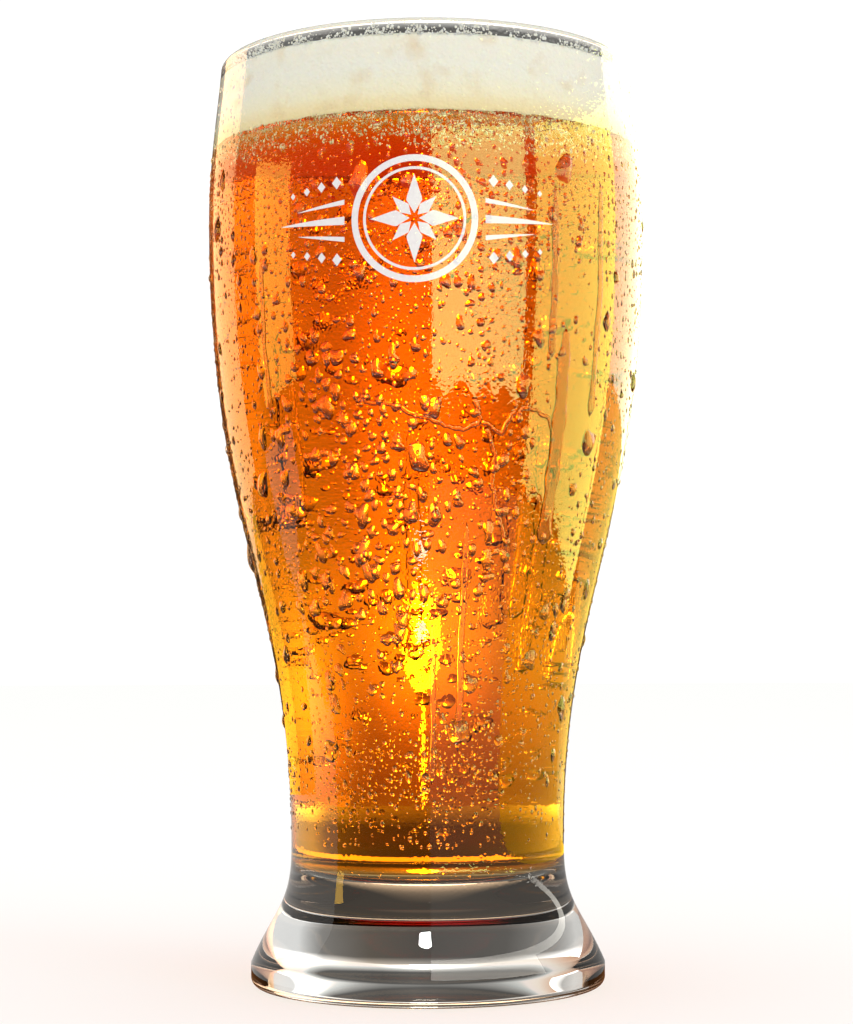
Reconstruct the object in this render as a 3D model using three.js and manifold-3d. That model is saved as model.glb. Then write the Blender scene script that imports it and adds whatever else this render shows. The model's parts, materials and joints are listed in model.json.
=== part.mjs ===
// A pint of beer: a waisted pub glass with a heavy clear foot, filled with amber beer under a
// creamy head, its outside beaded with condensation. Millimetres, +Z up, the origin on the table
// under the axis of the glass.

import * as THREE from 'three';
import { mergeVertices } from 'three/addons/utils/BufferGeometryUtils.js';
import Module from 'manifold-3d';

const wasm = await Module();
wasm.setup();

// Driving sizes of the glass, a 20 fl oz pub glass
const glassHeight = 180;
const rimRadius = 40.5;
const bellyRadius = 42.8;
const bellyHeight = 150;
const waistRadius = 26.6;
const waistHeight = 26.5;
const footRadius = 34.4;
const footBandHeight = 4.5;
const footEdgeRadius = 1.8;
const restRingWidth = 4.2;
const puntDepth = 2.2;

// The wall is thickest at the floor of the cup and thins towards the rim.
const wallAtFloor = 3.2;
const wallAtRim = 2.0;
const wallThinsOver = 85;
const floorHeight = 21;
const floorCornerRadius = 5;

// The drink
const foamLine = 162.8;
const headBelowRim = 2.6;
const headDome = 0.9;
const headEdgeRadius = 1.2;
const fitGap = 0.3;

// Large drops of condensation that stand out from the wall
const dropCount = 90;
const dropsFrom = 44;
const dropsTo = 157;
const smallestDrop = 2.2;
const largestDrop = 4.4;
const dropRise = 0.2;
const dropSides = 6;
const dropRings = 4;

// Facets round every turned piece
const segments = 48;

// Colours read from the photograph
const glassLook = { color: 0xe4ece9, roughness: 0.03, metalness: 0, transparent: true, opacity: 0.35 };
const beerLook = { color: 0xe0790c, roughness: 0.05, metalness: 0 };
const foamLook = { color: 0xf2ead6, roughness: 0.85, metalness: 0 };

const point = (radius, height) => new THREE.Vector2(radius, height);

// Points of a curve in the radius and height plane, from its start to its end.
function pointsOf(curve, steps) {
  return curve.getPoints(steps);
}

// An arc about a centre, from one angle to another in degrees.
function arc(centre, radius, fromDegrees, toDegrees, steps) {
  const points = [];
  for (let i = 0; i <= steps; i++) {
    const angle = THREE.MathUtils.degToRad(fromDegrees + ((toDegrees - fromDegrees) * i) / steps);
    points.push(point(centre.x + radius * Math.cos(angle), centre.y + radius * Math.sin(angle)));
  }
  return points;
}

// The outside of the glass is three smooth curves: the flare of the foot, the long body from the
// waist to the belly, and the shoulder that closes in a little towards the rim. The tangents are
// upright at the waist and at the belly.
const flare = new THREE.CubicBezierCurve(
  point(footRadius, footBandHeight),
  point(footRadius - 4.5, footBandHeight + 10.3),
  point(waistRadius, waistHeight - 11),
  point(waistRadius, waistHeight),
);
const body = new THREE.CubicBezierCurve(
  point(waistRadius, waistHeight),
  point(waistRadius, waistHeight + 51),
  point(bellyRadius, bellyHeight - 64),
  point(bellyRadius, bellyHeight),
);
const lipRadius = wallAtRim / 2;
const shoulder = new THREE.CubicBezierCurve(
  point(bellyRadius, bellyHeight),
  point(bellyRadius, bellyHeight + 11.4),
  point(rimRadius + 0.8, glassHeight - lipRadius - 9),
  point(rimRadius, glassHeight - lipRadius),
);

// Wall thickness at a height.
function wallAt(height) {
  const share = THREE.MathUtils.clamp((height - floorHeight) / wallThinsOver, 0, 1);
  return THREE.MathUtils.lerp(wallAtFloor, wallAtRim, share);
}

// The outside from the waist to the rim, without its turned lip.
const outerWall = [...pointsOf(body, 11), ...pointsOf(shoulder, 4).slice(1)];

// Radius of the outside at a height above the waist.
function outerRadiusAt(height) {
  const above = outerWall.findIndex((p) => p.y >= height);
  if (above <= 0) return outerWall[0].x;
  const low = outerWall[above - 1];
  const high = outerWall[above];
  return THREE.MathUtils.lerp(low.x, high.x, (height - low.y) / (high.y - low.y));
}

const innerRadiusAt = (height) => outerRadiusAt(height) - wallAt(height);

// The inside from the floor of the cup to a height. A positive gap draws it inwards and up.
function cupInside(topHeight, gap) {
  const floor = floorHeight + gap;
  const cornerTop = floor + floorCornerRadius;
  const cornerSide = innerRadiusAt(cornerTop) - gap;
  const corner = arc(point(cornerSide - floorCornerRadius, cornerTop), floorCornerRadius, -90, 0, 4);
  const wall = outerWall
    .filter((p) => p.y > cornerTop + 1 && p.y < topHeight - 1)
    .map((p) => point(innerRadiusAt(p.y) - gap, p.y));
  return [point(0, floor), ...corner, ...wall, point(innerRadiusAt(topHeight) - gap, topHeight)];
}

// A closed solid of revolution about the Z axis, from points that start and end on the axis.
function turned(profile) {
  return new THREE.LatheGeometry(profile, segments).rotateX(Math.PI / 2);
}

function solidOf(geometry) {
  const bare = geometry.clone();
  bare.deleteAttribute('normal');
  bare.deleteAttribute('uv');
  const merged = mergeVertices(bare, 1e-4);
  return new wasm.Manifold(
    new wasm.Mesh({
      numProp: 3,
      vertProperties: merged.attributes.position.array,
      triVerts: new Uint32Array(merged.index.array),
    }),
  );
}

function geometryOf(solid) {
  const mesh = solid.getMesh();
  const geometry = new THREE.BufferGeometry();
  geometry.setAttribute('position', new THREE.BufferAttribute(mesh.vertProperties, 3));
  geometry.setIndex(new THREE.BufferAttribute(mesh.triVerts, 1));
  geometry.computeVertexNormals();
  return geometry;
}

// The glass: a shallow punt underneath, the ring it rests on, the foot's upright band, the flare,
// the wall up to its rounded lip, and back down the inside to the floor.
function glassProfile() {
  const ringOuter = footRadius - footEdgeRadius;
  const ringInner = ringOuter - restRingWidth;
  const punt = [point(0, puntDepth), point(ringInner * 0.72, puntDepth * 0.72), point(ringInner, 0)];
  const footEdge = arc(point(ringOuter, footEdgeRadius), footEdgeRadius, -90, 0, 3);
  const lipCentre = point(rimRadius - lipRadius, glassHeight - lipRadius);
  const lip = arc(lipCentre, lipRadius, 0, 180, 4);
  const inside = cupInside(glassHeight - lipRadius - 2, 0).reverse();
  return [...punt, ...footEdge, ...pointsOf(flare, 7), ...outerWall.slice(1), ...lip.slice(1), ...inside];
}

// Two irrational steps spread points evenly over a square, and a third sizes them.
const stepRound = 0.7548776662;
const stepUp = 0.569840291;
const stepSize = 0.6180339887;
const fraction = (value) => value - Math.floor(value);

// Places and sizes of the large drops: the angle round the glass, the height and the width.
function dropPlaces() {
  const places = [];
  for (let i = 1; i <= dropCount; i++) {
    const share = fraction(i * stepSize);
    places.push({
      angle: fraction(i * stepRound) * Math.PI * 2,
      height: THREE.MathUtils.lerp(dropsFrom, dropsTo, fraction(i * stepUp)),
      width: THREE.MathUtils.lerp(smallestDrop, largestDrop, share * share),
      stretch: 1.05 + 0.45 * fraction(i * stepSize * 3),
    });
  }
  return places;
}

// One drop: a flattened ball, half sunk in the wall, a little taller than it is wide.
function dropAt({ angle, height, width, stretch }) {
  const ball = new THREE.SphereGeometry(1, dropSides, dropRings).rotateX(Math.PI / 2);
  const radius = outerRadiusAt(height);
  const slope = (outerRadiusAt(height + 1) - outerRadiusAt(height - 1)) / 2;
  const around = new THREE.Vector3(-Math.sin(angle), Math.cos(angle), 0);
  const up = new THREE.Vector3(Math.cos(angle) * slope, Math.sin(angle) * slope, 1).normalize();
  const out = new THREE.Vector3().crossVectors(around, up).normalize();
  const place = new THREE.Matrix4().makeBasis(
    around.multiplyScalar(width / 2),
    up.multiplyScalar((width / 2) * stretch),
    out.multiplyScalar(width * dropRise),
  );
  place.setPosition(radius * Math.cos(angle), radius * Math.sin(angle), height);
  return ball.applyMatrix4(place);
}

function glass() {
  let solid = solidOf(turned(glassProfile()));
  for (const place of dropPlaces()) solid = solid.add(solidOf(dropAt(place)));
  return geometryOf(solid);
}

// Beer fills the cup from its floor up to the line under the head.
function beer() {
  return turned([...cupInside(foamLine, fitGap), point(0, foamLine)]);
}

// The head stands on the beer, with a soft edge where it meets the wall and a slightly domed top.
function foamHead() {
  const bottom = foamLine + fitGap;
  const edgeTop = glassHeight - headBelowRim;
  const side = innerRadiusAt(bottom) - fitGap;
  const topSide = innerRadiusAt(edgeTop) - fitGap;
  const wall = outerWall
    .filter((p) => p.y > bottom + 1 && p.y < edgeTop - headEdgeRadius - 1)
    .map((p) => point(innerRadiusAt(p.y) - fitGap, p.y));
  const edge = arc(point(topSide - headEdgeRadius, edgeTop - headEdgeRadius), headEdgeRadius, 0, 90, 3);
  const dome = [0.66, 0.33, 0].map((share) =>
    point(topSide * share, edgeTop + headDome * (1 - share * share)),
  );
  return turned([point(0, bottom), point(side, bottom), ...wall, ...edge, ...dome]);
}

function piece(name, geometry, look) {
  const mesh = new THREE.Mesh(geometry, new THREE.MeshStandardMaterial(look));
  mesh.name = name;
  return mesh;
}

const pint = new THREE.Group();
pint.add(piece('pint_glass', glass(), glassLook));
pint.add(piece('beer', beer(), beerLook));
pint.add(piece('foam_head', foamHead(), foamLook));

export default pint;
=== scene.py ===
# %% [markdown]
# # A pint of beer
# A tall pub glass with a heavy foot holds amber beer under a creamy head, and its cold outside is
# covered in condensation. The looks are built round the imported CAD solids, which stay as the
# fixed frame. Everything is in metres, +Z up, with the origin on the table under the glass.

import json
import math
import random

import bmesh
import bpy
import numpy as np
from mathutils import Matrix, Vector, noise

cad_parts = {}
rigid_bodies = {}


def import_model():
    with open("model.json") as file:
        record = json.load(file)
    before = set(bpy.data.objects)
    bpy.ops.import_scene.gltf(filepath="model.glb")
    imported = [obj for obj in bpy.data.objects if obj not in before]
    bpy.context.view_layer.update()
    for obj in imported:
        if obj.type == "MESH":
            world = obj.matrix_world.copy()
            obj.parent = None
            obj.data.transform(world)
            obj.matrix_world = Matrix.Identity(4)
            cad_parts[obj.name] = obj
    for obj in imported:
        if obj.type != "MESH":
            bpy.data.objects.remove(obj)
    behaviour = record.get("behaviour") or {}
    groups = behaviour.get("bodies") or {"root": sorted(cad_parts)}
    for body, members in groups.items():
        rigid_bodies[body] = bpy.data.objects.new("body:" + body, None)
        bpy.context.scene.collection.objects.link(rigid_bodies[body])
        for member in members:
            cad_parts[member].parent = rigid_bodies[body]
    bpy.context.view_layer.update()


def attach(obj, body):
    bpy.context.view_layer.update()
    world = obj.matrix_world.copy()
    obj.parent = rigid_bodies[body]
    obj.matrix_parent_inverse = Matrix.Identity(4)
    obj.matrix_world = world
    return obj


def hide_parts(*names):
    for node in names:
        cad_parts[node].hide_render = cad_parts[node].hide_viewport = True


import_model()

# %% [markdown]
# The driving sizes are those of the solids. The outside of the glass is three curves: the flare
# of the foot, the long body from the waist to the belly, and the shoulder that closes in towards
# the rim. Repeating the named values here keeps every new surface on its solid.

# %% Sizes of the glass and the drink
MM = 0.001
GLASS_HEIGHT = 180 * MM
RIM_RADIUS = 40.5 * MM
BELLY_RADIUS = 42.8 * MM
BELLY_HEIGHT = 150 * MM
WAIST_RADIUS = 26.6 * MM
WAIST_HEIGHT = 26.5 * MM
FOOT_RADIUS = 34.4 * MM
FOOT_BAND_HEIGHT = 4.5 * MM
FOOT_EDGE_RADIUS = 1.8 * MM
REST_RING_WIDTH = 4.2 * MM
PUNT_DEPTH = 2.2 * MM
WALL_AT_FLOOR = 3.2 * MM
WALL_AT_RIM = 2.0 * MM
WALL_THINS_OVER = 85 * MM
FLOOR_HEIGHT = 21 * MM
FLOOR_CORNER_RADIUS = 5 * MM
FOAM_LINE = 162.8 * MM
HEAD_BELOW_RIM = 2.6 * MM
HEAD_DOME = 0.9 * MM
HEAD_EDGE_RADIUS = 1.2 * MM
LIP_RADIUS = WALL_AT_RIM / 2


# %% Curves of the outside
def bezier(start, pull_start, pull_end, end, steps):
    """Points of a cubic curve in the radius and height plane."""
    points = []
    for step in range(steps + 1):
        t = step / steps
        weights = ((1 - t) ** 3, 3 * (1 - t) ** 2 * t, 3 * (1 - t) * t**2, t**3)
        corners = (start, pull_start, pull_end, end)
        points.append(tuple(sum(w * c[k] for w, c in zip(weights, corners)) for k in (0, 1)))
    return points


def arc(centre, radius, start, end, steps):
    """Points of an arc, from one angle to another in degrees."""
    angles = [math.radians(start + (end - start) * step / steps) for step in range(steps + 1)]
    return [(centre[0] + radius * math.cos(a), centre[1] + radius * math.sin(a)) for a in angles]


flare = bezier(
    (FOOT_RADIUS, FOOT_BAND_HEIGHT),
    (FOOT_RADIUS - 4.5 * MM, FOOT_BAND_HEIGHT + 10.3 * MM),
    (WAIST_RADIUS, WAIST_HEIGHT - 11 * MM),
    (WAIST_RADIUS, WAIST_HEIGHT),
    26,
)
body = bezier(
    (WAIST_RADIUS, WAIST_HEIGHT),
    (WAIST_RADIUS, WAIST_HEIGHT + 51 * MM),
    (BELLY_RADIUS, BELLY_HEIGHT - 64 * MM),
    (BELLY_RADIUS, BELLY_HEIGHT),
    84,
)
shoulder = bezier(
    (BELLY_RADIUS, BELLY_HEIGHT),
    (BELLY_RADIUS, BELLY_HEIGHT + 11.4 * MM),
    (RIM_RADIUS + 0.8 * MM, GLASS_HEIGHT - LIP_RADIUS - 9 * MM),
    (RIM_RADIUS, GLASS_HEIGHT - LIP_RADIUS),
    22,
)
outer_wall = body + shoulder[1:]
whole_outside = flare + outer_wall[1:]
outside_heights = [height for _, height in whole_outside]
outside_radii = [radius for radius, _ in whole_outside]


def outer_radius(height):
    """Radius of the outside at a height."""
    return float(np.interp(height, outside_heights, outside_radii))


def inner_radius(height):
    """Radius of the inside at a height above the cup's floor."""
    share = min(max((height - FLOOR_HEIGHT) / WALL_THINS_OVER, 0), 1)
    return outer_radius(height) - (WALL_AT_FLOOR + (WALL_AT_RIM - WALL_AT_FLOOR) * share)


def cup_inside(top, reach=0.0):
    """The inside from the floor of the cup to a height, pushed into the wall by reach."""
    floor = FLOOR_HEIGHT - reach
    corner_top = floor + FLOOR_CORNER_RADIUS
    corner_side = inner_radius(corner_top) + reach
    corner = arc((corner_side - FLOOR_CORNER_RADIUS, corner_top), FLOOR_CORNER_RADIUS, -90, 0, 10)
    flat = [(corner[0][0] * share, floor) for share in (0, 0.25, 0.5, 0.75)]
    rising = [h for _, h in outer_wall if corner_top + 1 * MM < h < top - 0.5 * MM]
    wall = [(inner_radius(h) + reach, h) for h in rising]
    return flat + corner + wall + [(inner_radius(top) + reach, top)]


print("belly across in mm:", round(2 * outer_radius(BELLY_HEIGHT) / MM, 1))


# %% [markdown]
# A turned piece is one profile carried round the axis. The mesh is written ring by ring, with a
# single point where the profile meets the axis, so seams and poles are closed from the start and
# the faces point outwards when the profile runs up the outside and down the inside.


# %% Helpers for meshes
def to_object(name, points, faces, smooth=True):
    mesh = bpy.data.meshes.new(name)
    mesh.from_pydata(points, [], faces)
    mesh.polygons.foreach_set("use_smooth", [smooth] * len(mesh.polygons))
    mesh.update()
    made = bpy.data.objects.new(name, mesh)
    bpy.context.scene.collection.objects.link(made)
    return made


def turn(name, profile, segments):
    """A closed solid of revolution, from a profile that starts and ends on the axis."""
    points, faces, rings = [], [], []
    for radius, height in profile:
        count = 1 if radius < 1e-7 else segments
        rings.append((len(points), count))
        for step in range(count):
            angle = 2 * math.pi * step / segments
            points.append((radius * math.cos(angle), radius * math.sin(angle), height))
    for (low, low_count), (high, high_count) in zip(rings, rings[1:]):
        for step in range(segments):
            after = (step + 1) % segments
            if low_count == 1:
                faces.append((low, high + after, high + step))
            elif high_count == 1:
                faces.append((low + step, low + after, high))
            else:
                faces.append((low + step, low + after, high + after, high + step))
    return to_object(name, points, faces)


def report(piece):
    triangles = sum(len(face.vertices) - 2 for face in piece.data.polygons)
    print(f"{piece.name}: {triangles} triangles, {[round(s / MM, 1) for s in piece.dimensions]} mm")


# %% [markdown]
# Colours are written as the sRGB hex values that a designer would pick, and one function turns
# them into the linear numbers that the shaders need. One more function adds a node with its
# settings and links, so each material reads as a short list.


# %% Helpers for materials
def linear(hex_colour):
    channels = [int(hex_colour[i : i + 2], 16) / 255 for i in (1, 3, 5)]
    return [c / 12.92 if c <= 0.04045 else ((c + 0.055) / 1.055) ** 2.4 for c in channels] + [1.0]


def add(tree, kind, inputs=None, **settings):
    """Adds a node. An input is a value, or a socket to link from."""
    made = tree.nodes.new(kind)
    for key, value in settings.items():
        setattr(made, key, value)
    for key, value in (inputs or {}).items():
        if isinstance(value, bpy.types.NodeSocket):
            tree.links.new(value, made.inputs[key])
        else:
            made.inputs[key].default_value = value
    return made


def new_material(name):
    material = bpy.data.materials.new(name)
    material.use_nodes = True
    material.node_tree.nodes.clear()
    return material, material.node_tree


def clear_surface(tree, ior, tint, mirror="#FFFFFF", normal=None):
    """A clear dielectric. Shadow rays and soft bounced light pass straight through it, so that
    what stands behind it is lit. Mirror dims the reflection where it touches glass or liquid."""
    settings = {
        "Base Color": tint,
        "Transmission Weight": 1.0,
        "IOR": ior,
        "Roughness": 0.0,
        "Specular Tint": linear(mirror),
    }
    if normal is not None:
        settings["Normal"] = normal
    clear = add(tree, "ShaderNodeBsdfPrincipled", settings)
    passing = add(tree, "ShaderNodeBsdfTransparent", {"Color": tint})
    path = add(tree, "ShaderNodeLightPath").outputs
    soft = {0: path["Is Diffuse Ray"], 1: clear.outputs[0], 2: passing.outputs[0]}
    for_soft = add(tree, "ShaderNodeMixShader", soft)
    shadow = {0: path["Is Shadow Ray"], 1: for_soft.outputs[0], 2: passing.outputs[0]}
    return add(tree, "ShaderNodeMixShader", shadow)


# %% [markdown]
# ## The glass
# A pub glass is pressed and blown soda-lime glass, fire polished, so it is smooth and bright with
# a faint cool tint. It is turned as one closed solid with its punt, rest ring, foot, wall and
# rounded lip. The finest mist of condensation is far too small to model, so it is a bump: small
# domes from the cells of a Voronoi pattern.

# %% Soda-lime glass, fire polished
MIST_CELL = 0.8 * MM
MIST_HEIGHT = 0.008 * MM
mist_from = WAIST_HEIGHT - 8 * MM

glass_material, tree = new_material("soda_lime_glass_fire_polished")
place = add(tree, "ShaderNodeTexCoord").outputs["Object"]
cells = add(tree, "ShaderNodeTexVoronoi", {"Vector": place, "Scale": 1 / MIST_CELL})
spread = add(tree, "ShaderNodeMath", {0: cells.outputs["Distance"], 1: 0.5}, operation="DIVIDE")
square = add(tree, "ShaderNodeMath", {0: spread.outputs[0], 1: 2.0}, operation="POWER")
dome = add(tree, "ShaderNodeMath", {0: 1.0, 1: square.outputs[0]}, operation="SUBTRACT", use_clamp=True)
height = add(tree, "ShaderNodeSeparateXYZ", {0: place}).outputs["Z"]
rise = add(
    tree,
    "ShaderNodeMapRange",
    {"Value": height, "From Min": mist_from, "From Max": mist_from + 8 * MM},
)
patches = add(tree, "ShaderNodeTexNoise", {"Vector": place, "Scale": 1 / (22 * MM), "Detail": 2.0})
patchy = add(
    tree,
    "ShaderNodeMapRange",
    {"Value": patches.outputs["Fac"], "From Min": 0.4, "From Max": 0.6, "To Min": 0.15},
)
masked = add(tree, "ShaderNodeMath", {0: rise.outputs[0], 1: patchy.outputs[0]}, operation="MULTIPLY")
relief = add(tree, "ShaderNodeMath", {0: dome.outputs[0], 1: masked.outputs[0]}, operation="MULTIPLY")
mist = add(
    tree,
    "ShaderNodeBump",
    {"Height": relief.outputs[0], "Distance": MIST_HEIGHT, "Strength": 1.0},
)
surface = clear_surface(tree, 1.52, linear("#FAFDFC"), normal=mist.outputs[0])
add(tree, "ShaderNodeOutputMaterial", {"Surface": surface.outputs[0]})

# %% [markdown]
# Where beer wets the inside of the wall, glass and beer bend light almost alike, and only about
# one part in two hundred is mirrored back. The inside up to the head has its own material for
# that: the same glass with a dim mirror.

# %% Soda-lime glass, wetted by the beer
WETTED_MIRROR = "#595959"
wetted_material, tree = new_material("soda_lime_glass_wetted_by_beer")
surface = clear_surface(tree, 1.52, linear("#FFFFFF"), WETTED_MIRROR)
add(tree, "ShaderNodeOutputMaterial", {"Surface": surface.outputs[0]})

# %% Turn the glass
GLASS_SEGMENTS = 256
ring_outer = FOOT_RADIUS - FOOT_EDGE_RADIUS
ring_inner = ring_outer - REST_RING_WIDTH
punt = [
    (0, PUNT_DEPTH),
    (ring_inner * 0.4, PUNT_DEPTH * 0.95),
    (ring_inner * 0.72, PUNT_DEPTH * 0.72),
    (ring_inner * 0.9, PUNT_DEPTH * 0.3),
    (ring_inner, 0),
]
foot_edge = arc((ring_outer, FOOT_EDGE_RADIUS), FOOT_EDGE_RADIUS, -90, 0, 8)
lip = arc((RIM_RADIUS - LIP_RADIUS, GLASS_HEIGHT - LIP_RADIUS), LIP_RADIUS, 0, 180, 12)
inside = list(reversed(cup_inside(GLASS_HEIGHT - LIP_RADIUS - 1 * MM)))
glass_profile = punt + foot_edge + flare + outer_wall[1:] + lip[1:] + inside
pint_glass = turn("glass_wall", glass_profile, GLASS_SEGMENTS)
pint_glass.data.materials.append(glass_material)
pint_glass.data.materials.append(wetted_material)
first_inside = len(glass_profile) - len(inside)
for ring in range(first_inside, len(glass_profile) - 1):
    if glass_profile[ring][1] <= FOAM_LINE:
        for number in range(ring * GLASS_SEGMENTS, (ring + 1) * GLASS_SEGMENTS):
            pint_glass.data.polygons[number].material_index = 1
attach(pint_glass, "root")
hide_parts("pint_glass")
report(pint_glass)

# %% [markdown]
# ## The beer
# Filtered amber ale is a clear liquid that takes out blue almost at once, green over a few
# centimetres and red hardly at all. That is a volume, not a surface colour: thin beer then looks
# golden and deep beer orange. The liquid reaches a hair into the glass, so that light never meets
# a gap of air between the two.

# %% Amber ale, filtered
REACH = 0.15 * MM
BEER_DENSITY = 130.0

beer_material, tree = new_material("amber_ale_filtered")
surface = clear_surface(tree, 1.34, linear("#FFFFFF"), WETTED_MIRROR)
depth = add(
    tree,
    "ShaderNodeVolumeAbsorption",
    {"Color": linear("#FDE400"), "Density": BEER_DENSITY},
)
add(
    tree,
    "ShaderNodeOutputMaterial",
    {"Surface": surface.outputs[0], "Volume": depth.outputs[0]},
)

# %% Pour the beer
beer = turn("beer_fill", cup_inside(FOAM_LINE, REACH) + [(0, FOAM_LINE)], 160)
beer.data.materials.append(beer_material)
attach(beer, "root")
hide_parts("beer")
report(beer)

# %% [markdown]
# ## The head
# Beer foam is a wet mass of bubbles from a tenth of a millimetre to a few across. It scatters
# light inside itself, so it glows. It is yellower towards the bottom, partly because more beer
# hangs between the bubbles there and partly as a painted glow of the golden light that reaches it
# through the beer. The head is turned like the rest, then its points are moved by a cell pattern
# so that the top and the underside carry real bubbles.

# %% Beer foam, poured
FOAM_BUBBLE = 0.7 * MM

foam_material, tree = new_material("beer_foam_poured")
place = add(tree, "ShaderNodeTexCoord").outputs["Object"]
height = add(tree, "ShaderNodeSeparateXYZ", {0: place}).outputs["Z"]
# Colour by height: the yellower bottom is partly beer between the bubbles and partly painted glow from the
# beer below.
wetness_and_beer_glow = add(
    tree,
    "ShaderNodeMapRange",
    {"Value": height, "From Min": FOAM_LINE - 0.5 * MM, "From Max": FOAM_LINE + 9 * MM},
    interpolation_type="SMOOTHSTEP",
)
tone = add(tree, "ShaderNodeValToRGB", {"Fac": wetness_and_beer_glow.outputs[0]})
tone.color_ramp.elements[0].color = linear("#EFDAA8")
tone.color_ramp.elements[1].color = linear("#F0EADC")
tone.color_ramp.elements.new(0.35).color = linear("#F3E8CA")
blotches = add(tree, "ShaderNodeTexNoise", {"Vector": place, "Scale": 1 / (7 * MM), "Detail": 3.0})
stain = add(
    tree,
    "ShaderNodeMapRange",
    {"Value": blotches.outputs["Fac"], "From Min": 0.55, "From Max": 0.75, "To Max": 0.55},
)
stained = add(
    tree,
    "ShaderNodeMix",
    {"Factor": stain.outputs[0], "A": tone.outputs[0], "B": linear("#DDC092")},
    data_type="RGBA",
)
bubbles = add(tree, "ShaderNodeTexVoronoi", {"Vector": place, "Scale": 1 / FOAM_BUBBLE})
skin = add(
    tree,
    "ShaderNodeBump",
    {"Height": bubbles.outputs["Distance"], "Distance": 0.3 * MM, "Strength": 0.8},
    invert=True,
)
foam_surface = add(
    tree,
    "ShaderNodeBsdfPrincipled",
    {
        "Base Color": stained.outputs["Result"],
        "Roughness": 0.7,
        "IOR": 1.33,
        "Subsurface Weight": 0.6,
        "Subsurface Radius": (1.0, 0.8, 0.5),
        "Subsurface Scale": 2.5 * MM,
        "Normal": skin.outputs[0],
    },
)
add(tree, "ShaderNodeOutputMaterial", {"Surface": foam_surface.outputs[0]})

# %% Shape the head
head_top = GLASS_HEIGHT - HEAD_BELOW_RIM
under = [(inner_radius(FOAM_LINE) * share, FOAM_LINE - 0.4 * MM) for share in np.linspace(0, 0.97, 52)]
wall_heights = np.linspace(FOAM_LINE - 0.1 * MM, head_top - HEAD_EDGE_RADIUS, 24)
side = [(inner_radius(h) + REACH, h) for h in wall_heights]
edge_centre = (side[-1][0] - HEAD_EDGE_RADIUS, side[-1][1])
edge = arc(edge_centre, HEAD_EDGE_RADIUS, 0, 90, 8)[1:]
crown = [
    (edge_centre[0] * share, head_top + HEAD_DOME * (1 - share * share))
    for share in np.linspace(0.98, 0, 52)
]
foam_head = turn("foam_top", under + side + edge + crown, 192)
for vertex in foam_head.data.vertices:
    across = math.hypot(vertex.co.x, vertex.co.y)
    if across > inner_radius(vertex.co.z) - 0.6 * MM and vertex.co.z > FOAM_LINE + 1 * MM:
        continue
    upper = vertex.co.z > FOAM_LINE + 5 * MM
    big = noise.voronoi(vertex.co / (2.6 * MM))[0][0]
    small = noise.voronoi(vertex.co / (1.1 * MM))[0][0]
    swell = (0.45 - big) * 0.5 * MM + (0.45 - small) * 0.35 * MM
    vertex.co.z += swell if upper else -swell
foam_head.data.materials.append(foam_material)
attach(foam_head, "root")
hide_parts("foam_head")
report(foam_head)

# %% [markdown]
# ## Condensation
# Water beads on cold glass as flat domes that are never quite round. The smallest sit close
# together, and the large ones have swallowed their neighbours and sag downhill. A few shapes of
# each kind are made once, and a Geometry Nodes tree scatters them over a skin of the wall, turns
# each to the surface with its heavy side down, and sizes it. How wet each part of the wall is
# comes from an attribute on the skin.

# %% Condensed water
water_material, tree = new_material("condensed_water_clear")
surface = clear_surface(tree, 1.33, linear("#FFFFFF"))
add(tree, "ShaderNodeOutputMaterial", {"Surface": surface.outputs[0]})


# %% Shapes of a drop
def sharpen_flats(mesh):
    """Keeps the edge crisp where a smooth dome meets its flat base."""
    crisp = {key for polygon in mesh.polygons if not polygon.use_smooth for key in polygon.edge_keys}
    for mesh_edge in mesh.edges:
        mesh_edge.use_edge_sharp = mesh_edge.key in crisp


def drop_shape(name, sides, rings, seed, rise, wobble):
    """A low cap one unit wide on a flat base that lies a little inside the glass."""
    chance = random.Random(seed)
    waves = [(k, wobble / k * chance.uniform(0.3, 1), chance.uniform(0, 6.28)) for k in (2, 3, 4)]
    sunk = 0.05
    points = [(0, -0.3 * rise, rise - sunk)]
    for ring in range(1, rings + 1):
        share = ring / rings
        lift = rise * (1 - share**2)
        for step in range(sides):
            angle = 2 * math.pi * step / sides
            outline = 1 + sum(size * math.cos(k * angle + turn_) for k, size, turn_ in waves)
            radius = 0.5 * share * (1 + (outline - 1) * share)
            down = -0.3 * lift
            points.append((radius * math.cos(angle), radius * math.sin(angle) + down, lift - sunk))
    faces = [(0, 1 + step, 1 + (step + 1) % sides) for step in range(sides)]
    for ring in range(rings - 1):
        low, high = 1 + ring * sides, 1 + (ring + 1) * sides
        for step in range(sides):
            after = (step + 1) % sides
            faces.append((low + step, high + step, high + after, low + after))
    base = 1 + (rings - 1) * sides
    faces.append(tuple(base + step for step in reversed(range(sides))))
    made = to_object(name, points, faces)
    mesh = made.data
    mesh.polygons[-1].use_smooth = False
    sharpen_flats(mesh)
    return made


def drop_family(name, count, sides, rings, rise, wobble):
    family = bpy.data.collections.new(name)
    for index in range(count):
        made = drop_shape(f"{name}_{index}", sides, rings, 100 + index, rise, wobble)
        bpy.context.scene.collection.objects.unlink(made)
        family.objects.link(made)
    return family


# %% A skin of the wall that knows how wet it is
def facing(x, y):
    """Degrees round from the front, positive to the viewer's right."""
    return math.degrees(math.atan2(x, -y))


def bell(value, centre, width):
    return math.exp(-(((value - centre) / width) ** 2))


def wet_fine(around, height):
    mm = height / MM
    wet = 0.75 + 0.5 * bell(mm, 148, 14) + 0.4 * bell(around, 16, 16) * bell(mm, 138, 22)
    wet *= 1 - 0.75 * bell(around, 44, 12) * bell(mm, 112, 34)
    wet *= 1 - 0.5 * bell(around, 16, 12) * bell(mm, 108, 9)
    wet *= 1 - 0.6 * bell(around, -14, 26) * bell(mm, 92, 26)
    wet *= 1 - 0.4 * bell(abs(around), 85, 25)
    if abs(around) > 110:
        wet *= 0.7
    if mm > FOAM_LINE / MM:
        wet *= 0.4
    return wet


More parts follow.
